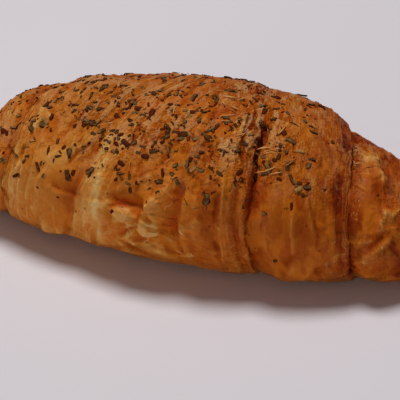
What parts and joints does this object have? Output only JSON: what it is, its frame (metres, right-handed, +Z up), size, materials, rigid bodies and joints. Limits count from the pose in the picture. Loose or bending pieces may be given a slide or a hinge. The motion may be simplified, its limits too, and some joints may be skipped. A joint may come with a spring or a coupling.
{
  "type": "croissant",
  "caption": "Baked croissant with dried herb flakes on top: a plump, nearly straight roll of layered pastry whose layer edges wind round it, flat underneath to rest on a table.",
  "frame": {"origin": "under the middle of the box, on the table", "axes": "+X along the roll, -Y its front, +Z up"},
  "size_m": [0.186, 0.0722, 0.0563],
  "materials": {
    "crust": "egg-washed golden brown pastry crust, semi-gloss",
    "herb": "dry, matt herb leaf"
  },
  "bodies": {
    "root": {"croissant": "crust"}
  },
  "joints": []
}
